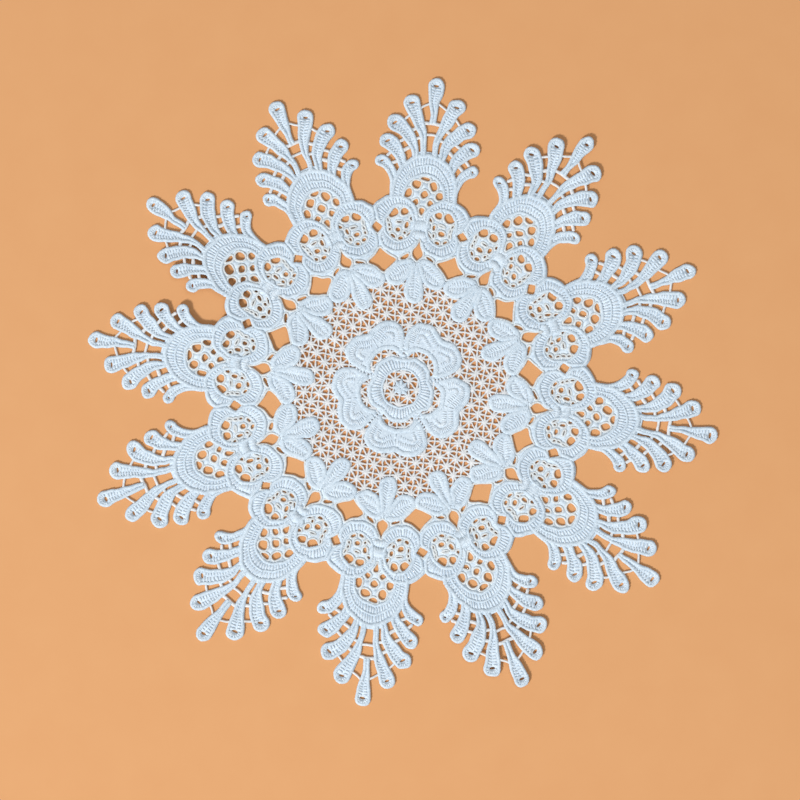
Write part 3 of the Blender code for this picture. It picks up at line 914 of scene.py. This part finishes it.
def leaf_rows(foot, tip, width, pitch, slant):
    """Stitches on both sides of a leaf's vein, slanting towards its tip."""
    foot, tip = np.array(foot), np.array(tip)
    length = np.hypot(*(tip - foot))
    run = (tip - foot) / length
    left = np.array((-run[1], run[0]))
    at = np.arange(0.7 * pitch, length - VEIN_GAP, pitch)[:, None]
    half = width * np.sin(math.pi * np.clip(at / length, 0.02, 0.98)) ** 0.5
    long_enough = half[:, 0] > LEAST_HALF
    pairs = []
    for side in (1.0, -1.0):
        start = foot + run * at + left * VEIN_GAP * side
        end = foot + run * (at + half * slant) + left * half * side
        pairs.append((start[long_enough], end[long_enough]))
    return pairs


leaf_pairs = leaf_rows((2.6, 75.4), (15.4, 66.2), width=4.0, pitch=1.6, slant=0.35)
leaf_pairs.append(leaf_rows((0.0, 76.0), (0.0, 55.0), width=3.8, pitch=1.6, slant=0.4)[0])
# On the pads the stitches are finer and lower.
PAD_TOP, PAD_STITCH_HEIGHT = GROUND_TOP + PADDING, 0.45
leaf_stitches = stitch_piece(
    "leaf_stitches", *laid(leaf_pairs), width=1.2, height=PAD_STITCH_HEIGHT, foot=PAD_TOP,
)

# Two rounds of stitches line a petal's pad, as distances inside its contour. They stop at the
# foot of the petal.
PETAL_ROUNDS, PETAL_HEART = ((0.2, 3.6), (4.3, 6.8)), (0.0, 29.0)
contour = smooth_line(PETAL_CONTOUR, step=1.35)
contour = contour[(contour[:, 1] > 23.0) & ((contour[:, 0] > 9.5) | (contour[:, 1] > 30.0))]
contour = np.concatenate((mirrored(contour[:0:-1]), contour))
inwards = left_of(contour)
inwards *= np.sign((inwards * (np.array(PETAL_HEART) - contour)).sum(1))[:, None]
starts, ends = [], []
for heading in PETALS:
    for near, far in PETAL_ROUNDS:
        starts.append(in_flower(heading, contour + inwards * near))
        ends.append(in_flower(heading, contour + inwards * far))
petal_stitches = stitch_piece(
    "petal_stitches", starts, ends, width=1.1, height=PAD_STITCH_HEIGHT, foot=PAD_TOP,
)

# The ring in the flower is stitched from beside the eye out to its lobes, and over each seam
# the two petals are tied together by stitches that grow longer outwards.
RING_INSIDE = 11.8
turns = np.arange(-35.0, 36.0, 6.6)
lobe_reach = np.interp(np.abs(turns), (0.0, 20.0, 36.0), (18.8, 17.6, 16.2))
turns = np.radians(turns)
ways = np.column_stack((np.sin(turns), np.cos(turns)))
tie_places = np.arange(18.2, 30.0, 2.1)
tie_halves = np.interp(tie_places, (18.0, 30.0), (1.2, 2.6))
starts, ends = [], []
for heading, seam in zip(PETALS, SEAMS):
    starts.append(in_flower(heading, ways * RING_INSIDE))
    ends.append(in_flower(heading, ways * lobe_reach[:, None]))
    starts.append(in_flower(seam, np.column_stack((-tie_halves, tie_places))))
    ends.append(in_flower(seam, np.column_stack((tie_halves, tie_places))))
flower_stitches = stitch_piece("flower_ring_stitches", starts, ends, width=1.6, height=0.62)

stitches = [finger_stitches, arch_stitches, leaf_stitches, petal_stitches, flower_stitches]
padded_satin = polyester_thread("padded_satin_stitch", "#EBF6FF", "#D0E0EE", 0.35, 0.5)
for piece in stitches:
    stitched_in(piece, padded_satin)


# The net.
# The open ground around the flower: two families of threads cross in squares, and threads run
# from corner to corner through every second crossing, which gives it eight-pointed stars. The
# ends are stitched into the leaves and the petals.

NET_PITCH, NET_TURN, NET_REACH = 4.77, 7.5, 67.0
NET_THREAD, NET_STEP = (0.76, 0.5, 0.85), 0.9
# By how much the threads swell at the middles of the stars, are uneven, and stray.
STAR_SWELL, NET_UNEVEN, NET_STRAY = 0.35, 0.1, 0.15
# The shortest stretch of thread that is drawn, in steps.
SHORTEST = 4

net_angle = math.radians(NET_TURN)
along_net = np.array((math.cos(net_angle), -math.sin(net_angle)))
up_net = np.array((math.sin(net_angle), math.cos(net_angle)))
covers = [on_mat(fan, band) for fan in range(FAN_COUNT) for band in sprig]


def in_net(points):
    """Which points of the mat lie in the open parts that the net fills."""
    open_part = np.hypot(*(points - MAT_MIDDLE).T) < NET_REACH
    for ring in covers + petals + [heart]:
        open_part &= ~holds(ring, points)
    for ring in crescents + [eye]:
        open_part |= holds(ring, points)
    return open_part & ~holds(hub, points)


def net_runs():
    """The stretches of the net's threads that show, each a little longer at its ends. They are
    thickest at the middles of the stars."""
    count = int(NET_REACH / NET_PITCH)
    at = np.arange(-1.5 * NET_REACH, 1.5 * NET_REACH, NET_STEP)[:, None]
    lines = []
    for n in range(-count, count + 1):
        start = n % 2 * NET_PITCH
        lines.append((up_net * n * NET_PITCH + along_net * at, start, 2.0))
        lines.append((along_net * n * NET_PITCH + up_net * at, start, 2.0))
        for way in ((along_net + up_net), (along_net - up_net)):
            slanting = along_net * n * 2 * NET_PITCH + way / math.sqrt(2.0) * at
            lines.append((slanting, 0.0, math.sqrt(2.0)))
    runs = []
    for line, start, spacing in lines:
        line = strayed(line + MAT_MIDDLE + FLOWER_MIDDLE)
        turns = (at[:, 0] - start) / (spacing * NET_PITCH) * 2 * math.pi
        swelling = STAR_SWELL * np.cos(turns) + chance.normal(0.0, NET_UNEVEN, len(turns))
        half_widths = NET_THREAD[0] * (1.0 + swelling)
        shown = np.convolve(in_net(line).astype(int), (1, 1, 1), "same") > 0
        edges = np.flatnonzero(np.diff(np.concatenate(([0], shown.astype(int), [0]))))
        for first, last in zip(edges[::2], edges[1::2]):
            if last - first >= SHORTEST:
                part = line[first:last] + chance.normal(0.0, NET_STRAY, (last - first, 2))
                runs.append((part, (half_widths[first:last],) + NET_THREAD[1:], False))
    return runs


net = cord_piece("net_threads", net_runs(), sides=5)
twisted = polyester_thread("twisted_net_thread", "#F1F2F3", "#D2D6DA", 0.6, 0.35)
stitched_in(net, twisted)


# The bars.
# Short twisted threads that tie one finger to the next across the gaps, so that the fan keeps
# its shape when the mat is washed.

BARS = (
    # the points of each bar, and half its width
    (((2.4, 175.1), (5.0, 173.4), (8.2, 171.3)), 0.75),
    (((-4.6, 162.4), (0.0, 162.4), (4.6, 162.4)), 1.20),
    (((-4.0, 155.2), (0.0, 155.1), (4.0, 155.2)), 0.90),
    (((12.9, 167.3), (15.1, 165.2), (17.3, 162.7)), 0.80),
    (((8.8, 159.0), (10.5, 157.9), (12.4, 156.6)), 1.20),
    (((5.6, 153.0), (7.4, 152.5), (9.4, 152.0)), 1.00),
    (((14.9, 151.8), (16.5, 150.6), (18.3, 149.2)), 1.05),
    (((12.2, 146.2), (14.0, 144.9), (16.2, 143.4)), 1.25),
    (((21.4, 143.4), (22.9, 141.6), (24.6, 139.6)), 1.10),
    (((17.4, 138.6), (19.5, 137.0), (21.4, 135.4)), 1.15),
)
# Half the height of a bar, and the height of its middle.
BAR_SECTION = (0.5, 1.0)
bar_runs = []
for rows, half in BARS:
    bar_runs += everywhere([smooth_line(rows, step=0.9)], (half,) + BAR_SECTION)
bars = cord_piece("bars", bar_runs)
stitched_in(bars, twisted)


# The table.
# A plain tan top that the mat lies on. It is board with matt paint, which doesn't shine and
# is a little uneven in tone. It is the stage and no part of the mat.

TABLE_SIZE, TONE_MM = 4.0, 25.0

bpy.ops.object.select_all(action="DESELECT")
bpy.ops.mesh.primitive_plane_add(size=TABLE_SIZE, location=(0.0, 0.0, 0.0))
table = bpy.context.object
table.name = "table"
paint = bpy.data.materials.new("matt_tan_board")
paint.use_nodes = True
tree = paint.node_tree
place = node(tree, "TexCoord").outputs["Object"]
patches = node(
    tree, "TexNoise", {"Scale": 1.0 / (TONE_MM * MM), "Detail": 3.0}, {"Vector": place},
)
tone = node(tree, "ValToRGB", links={"Fac": patches.outputs["Fac"]})
tone.color_ramp.elements[0].color = linear("#DFA26C")
tone.color_ramp.elements[1].color = linear("#E3A872")
shader = tree.nodes["Principled BSDF"]
shader.inputs["Roughness"].default_value = 0.9
tree.links.new(tone.outputs["Color"], shader.inputs["Base Color"])
table.data.materials.append(paint)


# The light and the camera.
# A soft studio light from the lower left, a weak one from the upper right and an even sky.
# The camera looks straight down.

def soft_light(name, place, size, power):
    """A round lamp at a place in metres, aimed at the middle of the table."""
    lamp = bpy.data.lights.new(name, "AREA")
    lamp.shape, lamp.size, lamp.energy = "DISK", size, power
    made = added(name, lamp)
    made.location = place
    made.rotation_euler = (-Vector(place)).to_track_quat("-Z", "Y").to_euler()


soft_light("key", (-2.2, -2.6, 3.3), size=0.9, power=182.0)
soft_light("fill", (1.2, 1.5, 3.6), size=2.0, power=14.0)
sky = bpy.data.worlds.new("even_sky")
sky.use_nodes = True
backdrop = sky.node_tree.nodes["Background"]
backdrop.inputs["Color"].default_value = linear("#FFFFFF")
backdrop.inputs["Strength"].default_value = 0.38
bpy.context.scene.world = sky
bpy.context.scene.view_settings.view_transform = "Standard"

# The camera sees this width of the table, from a point a little beside the mat's middle.
VIEW_MM, CAMERA_PLACE, SENSOR_MM = 480.0, (-0.0013, -0.0050, 2.0), 36.0
lens = bpy.data.cameras.new("camera")
lens.sensor_width = SENSOR_MM
lens.lens = SENSOR_MM * CAMERA_PLACE[2] / (VIEW_MM * MM)
camera = added("camera", lens)
camera.location = CAMERA_PLACE
bpy.context.scene.camera = camera
